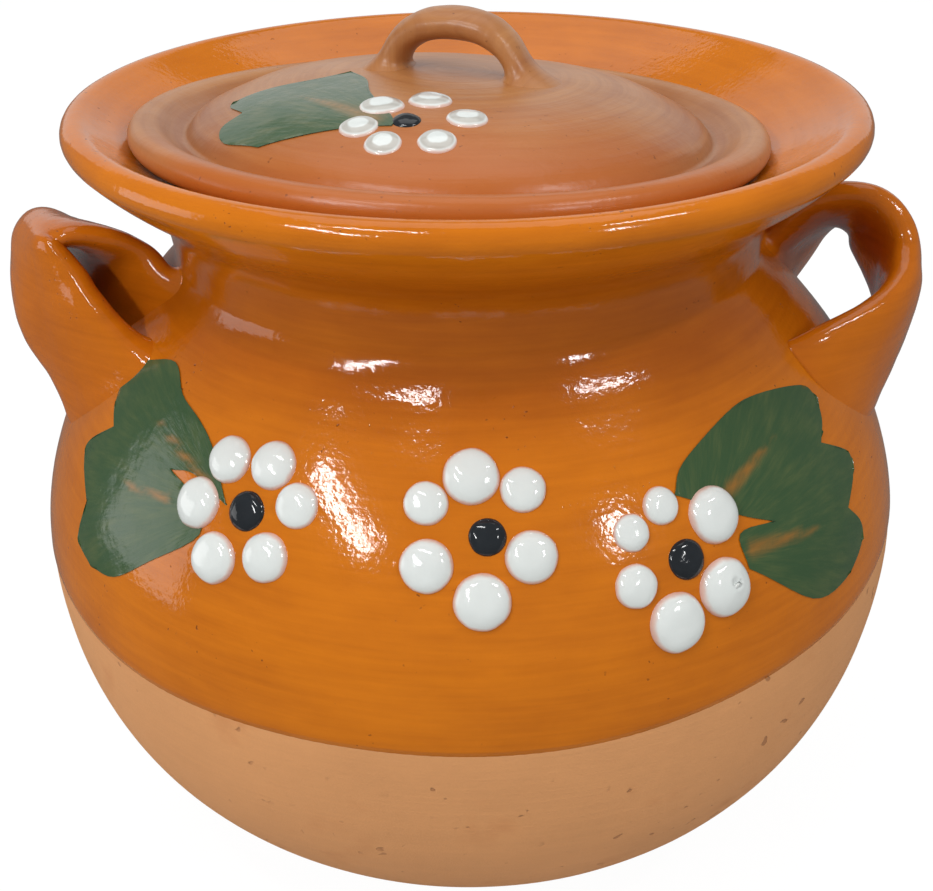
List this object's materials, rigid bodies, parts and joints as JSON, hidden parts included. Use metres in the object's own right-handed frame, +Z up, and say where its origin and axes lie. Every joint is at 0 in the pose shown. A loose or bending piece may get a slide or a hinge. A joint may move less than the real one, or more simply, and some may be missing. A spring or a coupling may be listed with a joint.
{
  "type": "lidded clay bean pot",
  "caption": "Round-bellied glazed clay cooking pot with a flared rim, a loose domed lid with a loop, strap handles, and enamel dot flowers with painted leaves.",
  "frame": {"origin": "centre of the flat foot, on the surface that the pot stands on", "axes": "+Z up along the pot's axis; -Y towards the painted front; +X towards the right-hand handle"},
  "size_m": [0.246, 0.2404, 0.2299],
  "materials": {
    "bare_clay": "matte unglazed earthenware",
    "amber_glaze": "glossy clear orange glaze",
    "glazed_handle": "glossy clear orange glaze",
    "lid_clay": "thin satin glaze over terracotta",
    "leaf_green": "brushed dark green enamel",
    "petal_white": "glossy raised white enamel",
    "centre_blue": "glossy blue-black enamel"
  },
  "bodies": {
    "pot": {"pot_body": "bare_clay", "glaze_coat": "amber_glaze", "left_handle": "glazed_handle", "right_handle": "glazed_handle", "leaf_left": "leaf_green", "leaf_right": "leaf_green", "flower_left_petals": "petal_white", "flower_middle_petals": "petal_white", "flower_right_petals": "petal_white", "flower_left_centre": "centre_blue", "flower_middle_centre": "centre_blue", "flower_right_centre": "centre_blue"},
    "lid": {"lid": "lid_clay", "lid_handle": "lid_clay", "lid_leaf": "leaf_green", "lid_flower_petals": "petal_white", "lid_flower_centre": "centre_blue"}
  },
  "joints": [
    {"name": "lid_lift", "type": "slide", "parent": "pot", "child": "lid", "axis": [0, 0, 1], "range_m": [0, 0.15]}
  ]
}
